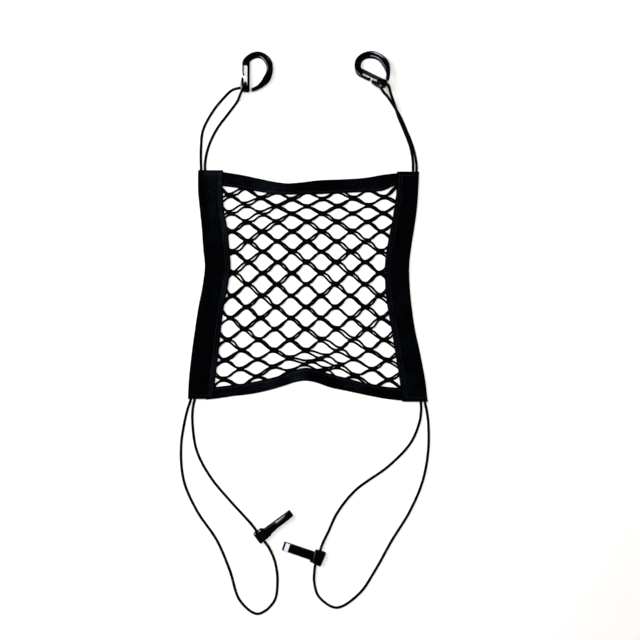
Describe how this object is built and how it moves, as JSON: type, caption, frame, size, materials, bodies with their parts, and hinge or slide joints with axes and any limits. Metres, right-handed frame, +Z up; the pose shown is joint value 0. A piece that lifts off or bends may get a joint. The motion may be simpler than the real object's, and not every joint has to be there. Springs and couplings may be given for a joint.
{
  "type": "cargo net",
  "caption": "Flat elastic storage net for a car seat: layered mesh in a woven band border, with cord loops that carry hooks and bar clips.",
  "frame": {"origin": "centre of the net with its bands, on the surface that it lies on", "axes": "+X across the net, +Y towards the two hooks, +Z up from the surface"},
  "size_m": [0.3003, 0.6758, 0.0298],
  "materials": {
    "webbing": "black woven elastic webbing, matt with a faint blue sheen",
    "net": "black knotted yarn, matt",
    "cord": "black braided elastic cord",
    "hook_plastic": "black moulded plastic, glossy",
    "clip_plastic": "black moulded plastic, glossy"
  },
  "bodies": {
    "root": {"side_band_left": "webbing", "side_band_right": "webbing", "top_band": "webbing", "bottom_band": "webbing", "net_back": "net", "net_front": "net", "cord_top_left": "cord", "cord_top_right": "cord", "cord_bottom_left": "cord", "cord_bottom_right": "cord", "hook_left": "hook_plastic", "hook_right": "hook_plastic", "toggle_left": "clip_plastic", "toggle_right": "clip_plastic"}
  },
  "joints": []
}
